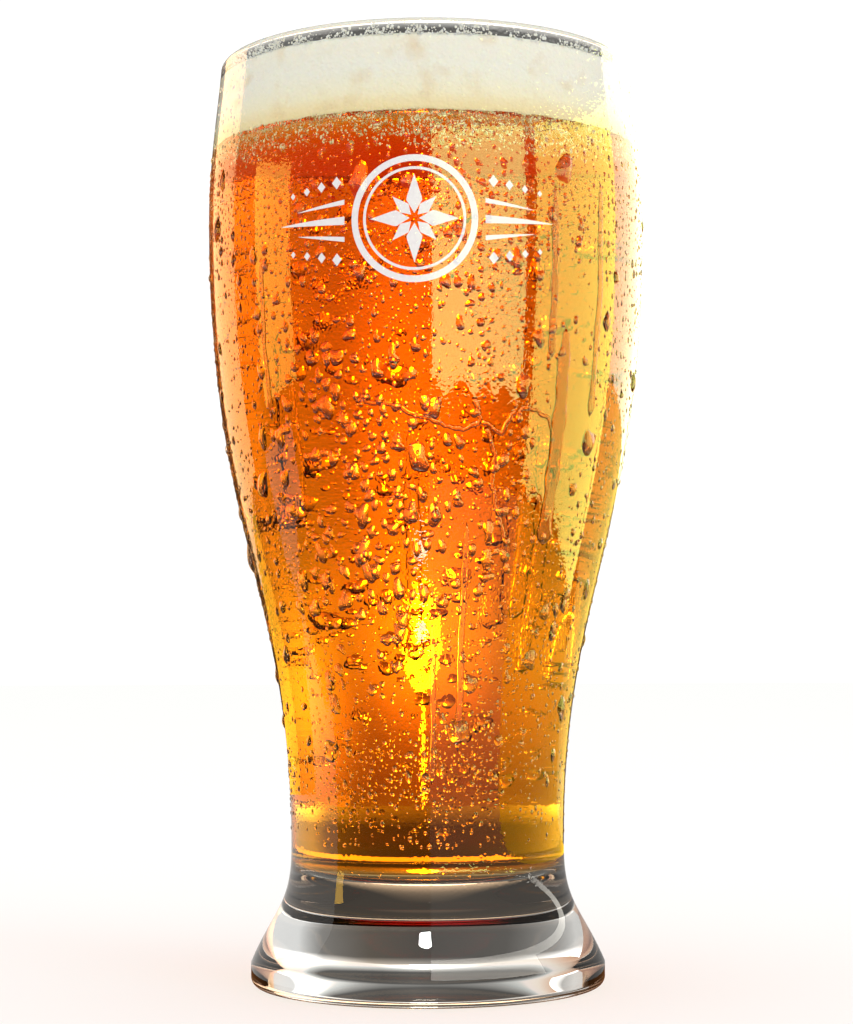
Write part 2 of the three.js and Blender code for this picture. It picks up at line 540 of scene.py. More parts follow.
def wet_coarse(around, height):
    mm = height / MM
    wet = 0.35 + 0.75 * bell(around, -18, 32) * bell(mm, 96, 28)
    wet += 0.35 * bell(around, 22, 14) * bell(mm, 84, 14)
    wet += 0.75 * bell(around, 14, 15) * bell(mm, 134, 18)
    wet *= 1 - 0.85 * bell(around, 44, 13) * bell(mm, 114, 34)
    wet *= 1 - 0.7 * bell(around, 14, 10) * bell(mm, 108, 8)
    wet *= 1 - 0.85 * bell(abs(around), 82, 26)
    if mm > FOAM_LINE / MM - 3 or mm < 38:
        wet *= 0.05
    return wet


def wet_heavy(around, height):
    mm = height / MM
    wet = 0.12 + 1.0 * bell(around, -16, 30) * bell(mm, 88, 26)
    wet *= 1 - bell(around, 36, 18) * bell(mm, 118, 40)
    if mm > 150 or mm < 48 or 55 < abs(around) < 110:
        wet = 0.0
    return wet


SKIN_SEGMENTS = 180


def wet_skin(name, profile, rules):
    """A band round the glass, with an attribute for each rule of how wet it is. A rule takes the
    bearing from the front in degrees and the place."""
    points, faces = [], []
    for radius, height in profile:
        for step in range(SKIN_SEGMENTS):
            angle = 2 * math.pi * step / SKIN_SEGMENTS
            points.append((radius * math.cos(angle), radius * math.sin(angle), height))
    for ring in range(len(profile) - 1):
        low, high = ring * SKIN_SEGMENTS, (ring + 1) * SKIN_SEGMENTS
        for step in range(SKIN_SEGMENTS):
            after = (step + 1) % SKIN_SEGMENTS
            faces.append((low + step, low + after, high + after, high + step))
    made = to_object(name, points, faces)
    for attribute_name, rule in rules.items():
        attribute = made.data.attributes.new(attribute_name, "FLOAT", "POINT")
        for index, (x, y, z) in enumerate(points):
            attribute.data[index].value = max(0.0, rule(facing(x, y), Vector((x, y, z))))
    print(f"{name}: {len(faces)} faces")
    return made


def in_patches(rule, patch):
    """The same rule, wetter and drier from patch to patch."""
    return lambda around, spot: rule(around, spot.z) * max(0.6 + 0.8 * noise.noise(spot / patch), 0.1)


wall_rules = {
    "fine": in_patches(wet_fine, 16 * MM),
    "coarse": in_patches(wet_coarse, 11 * MM),
    "heavy": in_patches(wet_heavy, 13 * MM),
}
skin_object = wet_skin("wall_skin", [p for p in outer_wall if 27 * MM < p[1] < 177 * MM], wall_rules)

# %% The tree that scatters drops
scatter = bpy.data.node_groups.new("scatter_drops", "GeometryNodeTree")
face = scatter.interface
face.new_socket("Skin", in_out="INPUT", socket_type="NodeSocketGeometry")
for name, kind in (
    ("Drops", "NodeSocketCollection"),
    ("Wetness", "NodeSocketString"),
    ("Spacing", "NodeSocketFloat"),
    ("Most per area", "NodeSocketFloat"),
    ("Smallest", "NodeSocketFloat"),
    ("Largest", "NodeSocketFloat"),
    ("Rarity of large", "NodeSocketFloat"),
    ("Seed", "NodeSocketInt"),
    ("Water", "NodeSocketMaterial"),
):
    face.new_socket(name, in_out="INPUT", socket_type=kind)
face.new_socket("Drops", in_out="OUTPUT", socket_type="NodeSocketGeometry")
given = add(scatter, "NodeGroupInput").outputs
wet = add(scatter, "GeometryNodeInputNamedAttribute", {"Name": given["Wetness"]}, data_type="FLOAT")
spots = add(
    scatter,
    "GeometryNodeDistributePointsOnFaces",
    {
        "Mesh": given["Skin"],
        "Distance Min": given["Spacing"],
        "Density Max": given["Most per area"],
        "Density Factor": wet.outputs[0],
        "Seed": given["Seed"],
    },
    distribute_method="POISSON",
)
upright = add(
    scatter,
    "FunctionNodeAlignRotationToVector",
    {"Rotation": spots.outputs["Rotation"], "Vector": (0, 0, 1)},
    axis="Y",
    pivot_axis="Z",
)
draw = add(scatter, "FunctionNodeRandomValue", {"Seed": given["Seed"]}, data_type="FLOAT")
rare = add(
    scatter,
    "ShaderNodeMath",
    {0: draw.outputs[1], 1: given["Rarity of large"]},
    operation="POWER",
)
width = add(
    scatter,
    "ShaderNodeMapRange",
    {"Value": rare.outputs[0], "To Min": given["Smallest"], "To Max": given["Largest"]},
)
shape = add(scatter, "FunctionNodeRandomValue", data_type="FLOAT_VECTOR")
shape.inputs[0].default_value = (0.8, 0.85, 0.75)
shape.inputs[1].default_value = (1.1, 1.45, 1.15)
shape.inputs["Seed"].default_value = 7
scaled = add(
    scatter,
    "ShaderNodeVectorMath",
    {0: shape.outputs[0], "Scale": width.outputs[0]},
    operation="SCALE",
)
kinds = add(
    scatter,
    "GeometryNodeCollectionInfo",
    {"Collection": given["Drops"], "Separate Children": True, "Reset Children": True},
)
pick = add(scatter, "FunctionNodeRandomValue", data_type="INT")
pick.inputs[4].default_value = 0
pick.inputs[5].default_value = 1000
pick.inputs["Seed"].default_value = 3
placed = add(
    scatter,
    "GeometryNodeInstanceOnPoints",
    {
        "Points": spots.outputs["Points"],
        "Instance": kinds.outputs[0],
        "Pick Instance": True,
        "Instance Index": pick.outputs[2],
        "Rotation": upright.outputs[0],
        "Scale": scaled.outputs[0],
    },
)
real = add(scatter, "GeometryNodeRealizeInstances", {0: placed.outputs[0]})
painted = add(scatter, "GeometryNodeSetMaterial", {0: real.outputs[0], "Material": given["Water"]})
add(scatter, "NodeGroupOutput", {0: painted.outputs[0]})
print("scatter tree:", len(scatter.nodes), "nodes")


# %% Scatter each kind of drop
def scattered(name, surface_object, tree, values):
    """The tree's result on a surface as a plain mesh. Values go in by the socket's identifier."""
    surface_copy = surface_object.copy()
    bpy.context.scene.collection.objects.link(surface_copy)
    modifier = surface_copy.modifiers.new("scatter", "NODES")
    modifier.node_group = tree
    for item in tree.interface.items_tree:
        if item.in_out == "INPUT" and item.name in values:
            modifier[item.identifier] = values[item.name]
    evaluated = surface_copy.evaluated_get(bpy.context.evaluated_depsgraph_get())
    mesh = bpy.data.meshes.new_from_object(evaluated)
    mesh.name = name
    bpy.data.objects.remove(surface_copy)
    made = bpy.data.objects.new(name, mesh)
    bpy.context.scene.collection.objects.link(made)
    return made


fine_family = drop_family("fine_drop", 6, 7, 2, 0.26, 0.16)
medium_family = drop_family("medium_drop", 12, 12, 4, 0.26, 0.38)
coarse_family = drop_family("coarse_drop", 12, 18, 6, 0.25, 0.55)
drop_kinds = (
    ("drops_fine", fine_family, "fine", 1.1 * MM, 1.4e6, 0.45 * MM, 1.1 * MM, 1.5, 11),
    ("drops_finest", fine_family, "fine", 1.2 * MM, 1.1e6, 0.3 * MM, 0.6 * MM, 1.2, 57),
    ("drops_medium", medium_family, "coarse", 1.9 * MM, 4.5e5, 1.1 * MM, 2.3 * MM, 1.6, 23),
    ("drops_coarse", coarse_family, "heavy", 3.4 * MM, 1.2e5, 2.0 * MM, 3.4 * MM, 1.6, 41),
)
for name, family, wet_name, spacing, most, small, large, rarity, seed in drop_kinds:
    values = {
        "Drops": family,
        "Wetness": wet_name,
        "Spacing": spacing,
        "Most per area": most,
        "Smallest": small,
        "Largest": large,
        "Rarity of large": rarity,
        "Seed": seed,
        "Water": water_material,
    }
    piece = scattered(name, skin_object, scatter, values)
    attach(piece, "root")
    report(piece)

# %% [markdown]
# The largest drops stand where the solids have them, by the same rule: two irrational steps
# spread them evenly round and up the wall, and a third sizes them.

# %% Large drops on the rule of the solids
DROP_COUNT = 90
DROPS_FROM = 44 * MM
DROPS_TO = 157 * MM
SMALLEST_DROP = 2.2 * MM
LARGEST_DROP = 4.4 * MM
STEP_ROUND = 0.7548776662
STEP_UP = 0.569840291
STEP_SIZE = 0.6180339887


def wall_axes(angle, height):
    """Point on the wall, then the directions round it, up it and out of it."""
    radius = outer_radius(height)
    slope = (outer_radius(height + 1 * MM) - outer_radius(height - 1 * MM)) / (2 * MM)
    centre = Vector((radius * math.cos(angle), radius * math.sin(angle), height))
    around = Vector((-math.sin(angle), math.cos(angle), 0))
    up = Vector((math.cos(angle) * slope, math.sin(angle) * slope, 1)).normalized()
    return centre, around, up, around.cross(up)


large_shapes = [drop_shape(f"large_{i}", 22, 7, 300 + i, 0.22, 0.45) for i in range(10)]
points, faces, flat_faces = [], [], []
for number in range(1, DROP_COUNT + 1):
    share = (number * STEP_SIZE) % 1
    angle = ((number * STEP_ROUND) % 1) * 2 * math.pi
    height = DROPS_FROM + (DROPS_TO - DROPS_FROM) * ((number * STEP_UP) % 1)
    width = SMALLEST_DROP + (LARGEST_DROP - SMALLEST_DROP) * share * share
    stretch = 1.05 + 0.45 * ((number * STEP_SIZE * 3) % 1)
    centre, around, up, out = wall_axes(angle, height)
    model = large_shapes[number % len(large_shapes)].data
    start = len(points)
    for vertex in model.vertices:
        x, y, z = vertex.co * width
        points.append(centre + around * x + up * y * stretch + out * z)
    for face_ in model.polygons:
        faces.append(tuple(start + i for i in face_.vertices))
        flat_faces.append(not face_.use_smooth)
for shape_object in large_shapes:
    bpy.data.objects.remove(shape_object)
drops_large = to_object("drops_large", points, faces)
drops_large.data.polygons.foreach_set("use_smooth", [not flat for flat in flat_faces])
sharpen_flats(drops_large.data)
drops_large.data.materials.append(water_material)
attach(drops_large, "root")
report(drops_large)

# %% [markdown]
# Where drops have joined they run down and leave long low ribbons of water with a rounded end,
# and torn ridges where a film has drawn back. Each is a closed strip on the wall: an outline
# in millimetres round and up the wall, with a height across it, laid on by one helper that the
# print uses as well.


# %% A strip laid on the wall
def on_wall(bearing, height, out):
    """A point out from the wall. The bearing is from the front, positive to the right."""
    slope = (outer_radius(height + 0.5 * MM) - outer_radius(height - 0.5 * MM)) / (1 * MM)
    length = math.hypot(1, slope)
    radius = outer_radius(height) + out / length
    up = height - out * slope / length
    return (radius * math.sin(bearing), -radius * math.cos(bearing), up)


def strip(mesh, left, right, across, rise, sunk, closed=False):
    """Adds a closed strip to a bmesh. Left and right are (bearing, height) lines of equal length.
    Rise gives the height above the wall at a share across and a share along."""
    rows = []
    for number, (a, b) in enumerate(zip(left, right)):
        along = number / (len(left) - 1)
        top, under_side = [], []
        for step in range(across + 1):
            share = step / across
            bearing = a[0] + (b[0] - a[0]) * share
            height = a[1] + (b[1] - a[1]) * share
            top.append(mesh.verts.new(on_wall(bearing, height, rise(share, along))))
            under_side.append(mesh.verts.new(on_wall(bearing, height, -sunk)))
        rows.append(top + under_side[::-1])
    around = len(rows[0])
    pairs = list(zip(rows, rows[1:] + rows[:1])) if closed else list(zip(rows, rows[1:]))
    made = []
    for low, high in pairs:
        for k in range(around):
            n = (k + 1) % around
            made.append(mesh.faces.new((low[k], low[n], high[n], high[k])))
    if not closed:
        half = across + 1
        for row in (rows[0], rows[-1]):
            for k in range(across):
                made.append(mesh.faces.new((row[k], row[k + 1], row[2 * half - 2 - k], row[2 * half - 1 - k])))
    bmesh.ops.recalc_face_normals(mesh, faces=made)


def from_bmesh(name, mesh, smooth=True):
    data = bpy.data.meshes.new(name)
    mesh.to_mesh(data)
    mesh.free()
    data.polygons.foreach_set("use_smooth", [smooth] * len(data.polygons))
    made = bpy.data.objects.new(name, data)
    bpy.context.scene.collection.objects.link(made)
    return made


# %% Runs and torn ridges
RUN_HEIGHT = 0.09 * MM
RUN_SUNK = 0.1 * MM
chance = random.Random(12)


def run_rise(share, along):
    rounded = math.sqrt(max(0.0, 1 - (2 * share - 1) ** 4))
    ends = math.sqrt(max(0.0, 1 - abs(2 * along - 1) ** 12))
    return RUN_HEIGHT * rounded * ends * (1.5 - 0.5 * min(1, along * 6)) - 0.02 * MM


def run_lines(bearing, top, bottom, width):
    """Edges of a run from its heavy lower end up to its thin upper end."""
    left, right = [], []
    steps = max(14, int((top - bottom) / (1.2 * MM)))
    seed = chance.uniform(0, 100)
    for step in range(steps + 1):
        along = step / steps
        height = bottom + (top - bottom) * along
        sway = 0.012 * noise.noise(Vector((seed, height / (9 * MM), 0)))
        swell = 1 + 0.7 * math.exp(-((along * (top - bottom) / MM - 1.6) / 1.6) ** 2)
        ripple = 1 + 0.35 * noise.noise(Vector((seed, height / (3.5 * MM), 5)))
        tip = math.sqrt(min(1, along * steps / 3)) * math.sqrt(min(1, (1 - along) * steps / 4))
        half = max(width / 2 * swell * ripple * tip, 0.04 * MM) / outer_radius(height)
        left.append((bearing + sway - half, height))
        right.append((bearing + sway + half, height))
    return left, right


runs_mesh = bmesh.new()
run_places = [
    (38, 124, 84, 3.2), (50, 152, 108, 1.7), (34, 150, 118, 1.6),
    (12, 88, 46, 1.3), (2, 70, 40, 1.2), (-46, 138, 108, 1.2),
]
for _ in range(16):
    top = chance.uniform(90, 156)
    run_places.append((chance.uniform(75, 285), top, top - chance.uniform(22, 55), chance.uniform(1.2, 2.3)))
for bearing, top, bottom, width in run_places:
    left, right = run_lines(math.radians(bearing), top * MM, bottom * MM, width * MM)
    strip(runs_mesh, left, right, 7, run_rise, RUN_SUNK)


def torn_edge(places, width):
    """Edges of a narrow ridge of water through places given as degrees round and mm up."""
    line = []
    for (a, low), (b, high) in zip(places, places[1:]):
        for step in range(8):
            share = step / 8
            bearing = math.radians(a + (b - a) * share)
            height = (low + (high - low) * share) * MM
            shake = noise.noise_vector(Vector((bearing * 40, height / (2 * MM), 2.0))) * 0.5 * MM
            line.append(Vector((bearing * outer_radius(height) + shake.x, height + shake.y)))
    left, right = [], []
    for number, spot in enumerate(line):
        ahead_of_it = line[min(number + 1, len(line) - 1)] - line[max(number - 1, 0)]
        beside = Vector((-ahead_of_it.y, ahead_of_it.x)).normalized()
        half = width / 2 * (1 + 0.5 * noise.noise(Vector((number / 3, 0, 8.0))))
        for sign, edge_line in ((1, left), (-1, right)):
            corner = spot + beside * sign * half
            edge_line.append((corner.x / outer_radius(corner.y), corner.y))
    return left, right


torn_edges = (
    ((-18, 110), (-8, 109), (2, 106), (9.5, 104.5), (14.8, 106), (12.2, 111)),
    ((14.8, 106), (20.7, 104), (23, 107.5), (28, 109), (34.6, 107), (37, 102.5)),
    ((16, 105), (19, 100), (18.4, 95), (22, 88), (26.5, 81)),
)
for places in torn_edges:
    left, right = torn_edge(places, 0.9 * MM)
    strip(runs_mesh, left, right, 5, run_rise, RUN_SUNK)


water_runs = from_bmesh("water_runs", runs_mesh)
water_runs.data.materials.append(water_material)
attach(water_runs, "root")
report(water_runs)

# %% [markdown]
# ## The print
# Pub glasses carry a screen print in white enamel that is fired on. This one has a plain
# ornament: an eight-rayed star in a double ring between tapered rules and rows of diamonds. It is
# raised by a few hundredths of a millimetre, so it is built as thin strips on the wall.

# %% Fired white enamel
enamel_material, tree = new_material("white_enamel_screen_printed_fired")
place = add(tree, "ShaderNodeTexCoord").outputs["Object"]
grain = add(tree, "ShaderNodeTexNoise", {"Vector": place, "Scale": 1 / (0.5 * MM), "Detail": 2.0})
tones = add(tree, "ShaderNodeValToRGB", {"Fac": grain.outputs["Fac"]})
tones.color_ramp.elements[0].color = linear("#DDD7D8")
tones.color_ramp.elements[1].color = linear("#F1ECEC")
pits = add(
    tree,
    "ShaderNodeBump",
    {"Height": grain.outputs["Fac"], "Distance": 0.02 * MM, "Strength": 0.3},
)
enamel = add(
    tree,
    "ShaderNodeBsdfPrincipled",
    {"Base Color": tones.outputs[0], "Roughness": 0.3, "Normal": pits.outputs[0]},
)
add(tree, "ShaderNodeOutputMaterial", {"Surface": enamel.outputs[0]})

# %% Print the ornament
PRINT_BEARING = math.radians(-2.7)
PRINT_HEIGHT = 142.5 * MM
PRINT_RISE = 0.05 * MM
print_mesh = bmesh.new()


def mark(left, right, across=4, closed=False):
    """Lays one mark of the print, given in millimetres from the middle of the ornament."""
    lines = []
    for line in (left, right):
        placed_line = []
        for u, v in line:
            height = PRINT_HEIGHT + v * MM
            placed_line.append((PRINT_BEARING + u * MM / outer_radius(height), height))
        lines.append(placed_line)
    strip(print_mesh, lines[0], lines[1], across, lambda share, along: PRINT_RISE, PRINT_RISE, closed)


def circle(radius, steps=72):
    angles = [2 * math.pi * step / steps for step in range(steps)]
    return [(radius * math.cos(a), radius * math.sin(a)) for a in angles]


mark(circle(10.4), circle(11.6), 2, True)
mark(circle(8.9), circle(9.4), 2, True)
for ray in range(8):
    angle = math.pi / 4 * ray
    reach = 8.0 if ray % 2 == 0 else 5.6
    half_width = 1.5 if ray % 2 == 0 else 1.1
    sides_of_ray = ([], [])
    for step in range(13):
        along = step / 12
        half = max(half_width * (along / 0.35 if along < 0.35 else (1 - along) / 0.65), 0.03)
        for sign, line in zip((1, -1), sides_of_ray):
            x, y = 0.9 + along * (reach - 0.9), sign * half
            line.append((x * math.cos(angle) - y * math.sin(angle), x * math.sin(angle) + y * math.cos(angle)))
    mark(*sides_of_ray)
for side_sign in (-1, 1):
    for level, length, thick in ((0, 13.5, 1.5), (3.4, 9.5, 0.9), (-3.4, 9.5, 0.9)):
        upper, lower = [], []
        for step in range(25):
            along = step / 24
            half = max(thick / 2 * (1 - along) ** 0.7, 0.04)
            u = side_sign * (13.0 + along * length)
            v = level * (1 - 0.35 * along)
            upper.append((u, v + half))
            lower.append((u, v - half))
        mark(upper, lower, 3)
    for number in range(4):
        middle = 14.5 + number * 3.1
        size = 1.15 - 0.18 * number
        for level in (7.0 - number * 0.55, -7.0 + number * 0.55):
            upper, lower = [], []
            for step in range(9):
                along = step / 4 - 1
                half = max(size * (1 - abs(along)), 0.03)
                upper.append((side_sign * middle + along * size * 0.8, level + half))
                lower.append((side_sign * middle + along * size * 0.8, level - half))
            mark(upper, lower, 3)
ornament = from_bmesh("white_ornament", print_mesh, False)
ornament.data.materials.append(enamel_material)
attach(ornament, "root")
report(ornament)

# %% [markdown]
# ## The froth
# Under a fresh head a few millimetres of wet froth cling to the wall: single bubbles with beer
# between them, so it looks granular and golden. Small bubbles are scattered with the same tree
# on a skin just inside the wall, closely packed at the head and fewer further down. A ragged
# ring of bubbles also sticks to the wall above the head, where the pour has reached.

# %% Wet froth
froth_material, tree = new_material("wet_beer_froth")
place = add(tree, "ShaderNodeTexCoord").outputs["Object"]
speckle = add(tree, "ShaderNodeTexNoise", {"Vector": place, "Scale": 1 / (1.3 * MM), "Detail": 2.0})
froth_tones = add(tree, "ShaderNodeValToRGB", {"Fac": speckle.outputs["Fac"]})
froth_tones.color_ramp.elements[0].position = 0.35
froth_tones.color_ramp.elements[0].color = linear("#B48648")
froth_tones.color_ramp.elements[1].position = 0.62
froth_tones.color_ramp.elements[1].color = linear("#F6E9BC")
froth_surface = add(
    tree,
    "ShaderNodeBsdfPrincipled",
    {
        "Base Color": froth_tones.outputs[0],
        "Roughness": 0.25,
        "IOR": 1.34,
        "Subsurface Weight": 0.3,
        "Subsurface Radius": (1.0, 0.7, 0.3),
        "Subsurface Scale": 0.6 * MM,
    },
)
add(tree, "ShaderNodeOutputMaterial", {"Surface": froth_surface.outputs[0]})


# %% Scatter the froth
FROTH_DEPTH = 7.5 * MM
RING_TOP = GLASS_HEIGHT - 0.9 * MM


def froth_rule(around, spot):
    up_share = (spot.z - FOAM_LINE + FROTH_DEPTH) / FROTH_DEPTH
    ragged = 0.35 * noise.noise(Vector((spot.x, spot.y, 0)) / (9 * MM))
    return min(1.0, max(0.0, 1.3 * up_share - 0.25 + ragged + 0.4 * bell(around, 38, 34)))


def ring_rule(around, spot):
    up_share = (spot.z - head_top) / (RING_TOP - head_top)
    ragged = noise.noise(Vector((spot.x, spot.y, 0)) / (3.2 * MM))
    return min(1.0, max(0.0, 0.75 - 0.5 * up_share + 1.6 * ragged))


froth_heights = np.linspace(FOAM_LINE - FROTH_DEPTH, FOAM_LINE + 0.1 * MM, 9)
ring_heights = np.linspace(head_top - 0.8 * MM, RING_TOP, 6)
froth_skin = wet_skin(
    "froth_skin", [(inner_radius(h) - 0.25 * MM, h) for h in froth_heights], {"froth": froth_rule}
)
ring_skin = wet_skin(
    "ring_skin", [(inner_radius(h) - 0.1 * MM, h) for h in ring_heights], {"froth": ring_rule}
)
bubble_family = bpy.data.collections.new("bubble")
for index in range(3):
    bubble_mesh = bmesh.new()
    bmesh.ops.create_uvsphere(bubble_mesh, u_segments=5, v_segments=2, radius=0.5)
    bubble_object = from_bmesh(f"bubble_{index}", bubble_mesh)
    bpy.context.scene.collection.objects.unlink(bubble_object)
    bubble_family.objects.link(bubble_object)
froth_kinds = (
    ("wet_froth", froth_skin, 0.27 * MM, 0.62 * MM, froth_material),
    ("froth_on_the_wall", ring_skin, 0.3 * MM, 0.75 * MM, foam_material),
)
for name, froth_place, spacing, largest, material in froth_kinds:
    values = {
        "Drops": bubble_family,
        "Wetness": "froth",
        "Spacing": spacing,
        "Most per area": 2e7,
        "Smallest": 0.26 * MM,
        "Largest": largest,
        "Rarity of large": 2.2,
        "Seed": 5,
        "Water": material,
    }
    froth = scattered(name, froth_place, scatter, values)
    bpy.data.objects.remove(froth_place)
    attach(froth, "root")
    report(froth)

# %% Clear away what the scatter used
for family in (fine_family, medium_family, coarse_family, bubble_family):
    for shape_object in list(family.objects):
        bpy.data.objects.remove(shape_object)
    bpy.data.collections.remove(family)
bpy.data.objects.remove(skin_object)

# %% [markdown]
# ## The studio
# The floor is plain and pale and the surround is white, as in a packshot. Clear glass and beer have
# no look of their own: they show what they mirror and what they bend into view. So soft boxes
# stand round the glass as plain glowing cards that only mirror images see, and behind them lies a
# room that only light through the glass sees.

# %% Floor and surround
scene = bpy.context.scene
world = bpy.data.worlds.new("white_surround")
world.use_nodes = True
world.node_tree.nodes["Background"].inputs[0].default_value = (1, 1, 1, 1)
world.node_tree.nodes["Background"].inputs[1].default_value = 1.08
scene.world = world

floor_material, tree = new_material("matt_white_floor")
matt = add(tree, "ShaderNodeBsdfDiffuse", {"Color": linear("#F6F6F4")})
add(tree, "ShaderNodeOutputMaterial", {"Surface": matt.outputs[0]})
FLOOR_GAP = 0.2 * MM
floor_corners = [(-4, -4, -FLOOR_GAP), (4, -4, -FLOOR_GAP), (4, 4, -FLOOR_GAP), (-4, 4, -FLOOR_GAP)]
floor = to_object("floor", floor_corners, [(0, 1, 2, 3)], False)
floor.data.materials.append(floor_material)
floor.visible_glossy = False


# %% Helpers for things that glow
def stage_glow(made, tree, colour, strength, seen_by):
    """Makes a glowing shape that either mirror images or light through the glass can see."""
    glow = add(tree, "ShaderNodeEmission", {"Color": colour, "Strength": strength})
    add(tree, "ShaderNodeOutputMaterial", {"Surface": glow.outputs[0]})
    made.data.materials[0].cycles.emission_sampling = "NONE"
    made.visible_camera = False
    made.visible_diffuse = False
    made.visible_shadow = False
    made.visible_volume_scatter = False
    made.visible_glossy = seen_by == "mirrors"
    made.visible_transmission = seen_by == "glass"


CARD_DISTANCE = 0.95


def card(name, start, end, low, high, colour, strength, ragged=0.0, distance=CARD_DISTANCE):
    """A glowing strip on a circle round the glass, between two bearings from the camera. Ragged
    is how far its lower edge wanders, which stands for a mirror image torn by a film of water."""
    points, faces = [], []
    steps = 24
    for step in range(steps + 1):
        bearing = math.radians(start + (end - start) * step / steps)
        x, y = distance * math.sin(bearing), -distance * math.cos(bearing)
        wander = ragged * noise.noise(Vector((math.degrees(bearing) / 6, 3.7, 0)))
        points += [(x, y, low + wander), (x, y, high)]
    for step in range(steps):
        faces.append((2 * step, 2 * step + 1, 2 * step + 3, 2 * step + 2))
    made = to_object(name, points, faces, False)
    material, tree = new_material(name + "_glow")
    made.data.materials.append(material)
    stage_glow(made, tree, linear(colour), strength, "mirrors")


def lamp(name, bearing, height, distance, wide, tall, colour, strength, seen_by):
    """A glowing upright oval that faces the axis of the glass."""
    bearing = math.radians(bearing)
    centre = Vector((distance * math.sin(bearing), -distance * math.cos(bearing), height))
    across = Vector((math.cos(bearing), math.sin(bearing), 0))
    turns = [2 * math.pi * step / 24 for step in range(24)]
    rise = Vector((0, 0, tall / 2))
    oval = [centre + across * (wide / 2 * math.cos(a)) + rise * math.sin(a) for a in turns]
    made = to_object(name, oval, [tuple(range(24))], False)
    material, tree = new_material(name + "_glow")
    made.data.materials.append(material)
    stage_glow(made, tree, linear(colour), strength, seen_by)


# %% [markdown]
# The mirror images in the photograph tell where the soft boxes stood: two warm ones to the right
# with a dark gap between them, a small amber one to the left and paler ones behind. They end a
# little below the table top, because the wall mirrors only low things where it slopes inwards.

# %% Soft boxes and small lamps for the mirror images
card("card_right_front", 3, 52, -0.03, 0.5, "#D9FF95", 9.0, 0.05)
card("card_right_side", 58, 116, -0.19, 0.5, "#ECEE70", 9.3, 0.05)
card("card_right_rear", 116, 168, 0.12, 0.7, "#FFFACC", 4.5)
card("card_right_low", 112, 160, -0.1, 0.12, "#F6D060", 2.6)
card("card_left_side", -98, -73, 0.04, 0.4, "#FFC850", 6.5)
card("card_left_low", -105, -80, -0.17, -0.02, "#E4D8D0", 1.2, 0.05)
card("card_left_rear", -150, -118, 0.0, 0.6, "#FFCC90", 3.4)
card("card_left_waist", -168, -130, -0.2, 0.0, "#FFB830", 2.6, 0.05)
card("foot_flag_right", 58, 170, 0.0, 0.024, "#D0CCC8", 0.6, distance=0.05)
card("foot_flag_left", -170, -60, 0.0, 0.034, "#D8D4D0", 1.0, distance=0.05)
card("foot_flag_front", -60, 58, 0.0, 0.015, "#8A6A50", 0.3, distance=0.05)
lamp("glint_right", 48, 0.86, 0.95, 0.06, 0.06, "#FFFFFF", 90.0, "mirrors")
lamp("glint_above", -2, 1.18, 0.95, 0.2, 0.07, "#FFFFFF", 90.0, "mirrors")
lamp("glint_hot", -4, -0.346, 0.95, 0.17, 0.02, "#FFFFE0", 16.0, "mirrors")

# %% A hot lamp behind the glass, low and nearly in line with the camera
lamp("hot_lamp", 179.2, 0.152, 0.6, 0.056, 0.084, "#FFF4E0", 400.0, "glass")
lamp("hot_tail", 179.4, 0.06, 0.61, 0.006, 0.13, "#FFE9C8", 14.0, "glass")

# %% [markdown]
# The room behind is brightest just above the table top, where the beer looks through it, and dark
# overhead, which gives the heavy foot its greys. The bright part stands higher at the sides, where
# the edges of the glass look up. Panels of unequal brightness draw soft upright bands in the
# beer, and a warm glow lies round the hot lamp.


# %% The room that shows through the glass
def steps_of(tree, value, stops):
    """A colour ramp from (position, hex colour) pairs."""
    ramp = add(tree, "ShaderNodeValToRGB", {"Fac": value})
    elements = ramp.color_ramp.elements
    elements[0].position, elements[0].color = stops[0][0], linear(stops[0][1])
    elements[1].position, elements[1].color = stops[-1][0], linear(stops[-1][1])
    for position, colour in stops[1:-1]:
        elements.new(position).color = linear(colour)
    return ramp.outputs[0]


ROOM_RADIUS = 1.25


def dome(name, radius, down_to):
    """A ball from its top down to an angle, which surrounds the glass."""
    profile = arc((0, 0), radius, 90, 90 - down_to, 18)
    return turn(name, [(max(r, 0.0), h) for r, h in reversed(profile)], 48)


room = dome("room_beyond", ROOM_RADIUS, 100)
room_material, tree = new_material("room_beyond_glow")
room.data.materials.append(room_material)
place = add(tree, "ShaderNodeTexCoord").outputs["Object"]
axes = add(tree, "ShaderNodeSeparateXYZ", {0: place}).outputs
sideways = add(tree, "ShaderNodeMath", {0: axes["X"]}, operation="ABSOLUTE").outputs[0]
squeeze = add(
    tree,
    "ShaderNodeMapRange",
    {"Value": sideways, "From Min": 0.45, "From Max": 0.8, "To Min": 1.0, "To Max": 0.66},
    interpolation_type="SMOOTHSTEP",
).outputs[0]
as_seen = add(tree, "ShaderNodeMath", {0: axes["Z"], 1: squeeze}, operation="MULTIPLY").outputs[0]
up_the_wall = add(tree, "ShaderNodeMapRange", {"Value": as_seen, "From Max": ROOM_RADIUS}).outputs[0]
height_stops = (
    (0.0, "#A07662"), (0.015, "#A07662"), (0.067, "#C0907A"), (0.124, "#E9B898"), (0.226, "#FFF0E0"),
    (0.276, "#FFF0E8"), (0.29, "#DEDCD6"), (0.302, "#D0D0CC"), (0.34, "#A7A4A0"), (0.4, "#565452"),
    (1.0, "#3D3C3A"),
)
by_height = steps_of(tree, up_the_wall, height_stops)
across_room = {"Value": axes["X"], "From Min": -1.0, "From Max": 1.0}
across_room = add(tree, "ShaderNodeMapRange", across_room).outputs[0]
panel_stops = (
    (0.02, "#DCDCDC"), (0.2, "#D8D8D8"), (0.29, "#DCDCDC"), (0.38, "#DCDCDC"), (0.45, "#ECECEC"),
    (0.53, "#FFFFFF"), (0.6, "#E6E6E6"), (0.695, "#FBFBFB"), (0.785, "#FFFFFF"), (0.9, "#F4F4F4"),
)
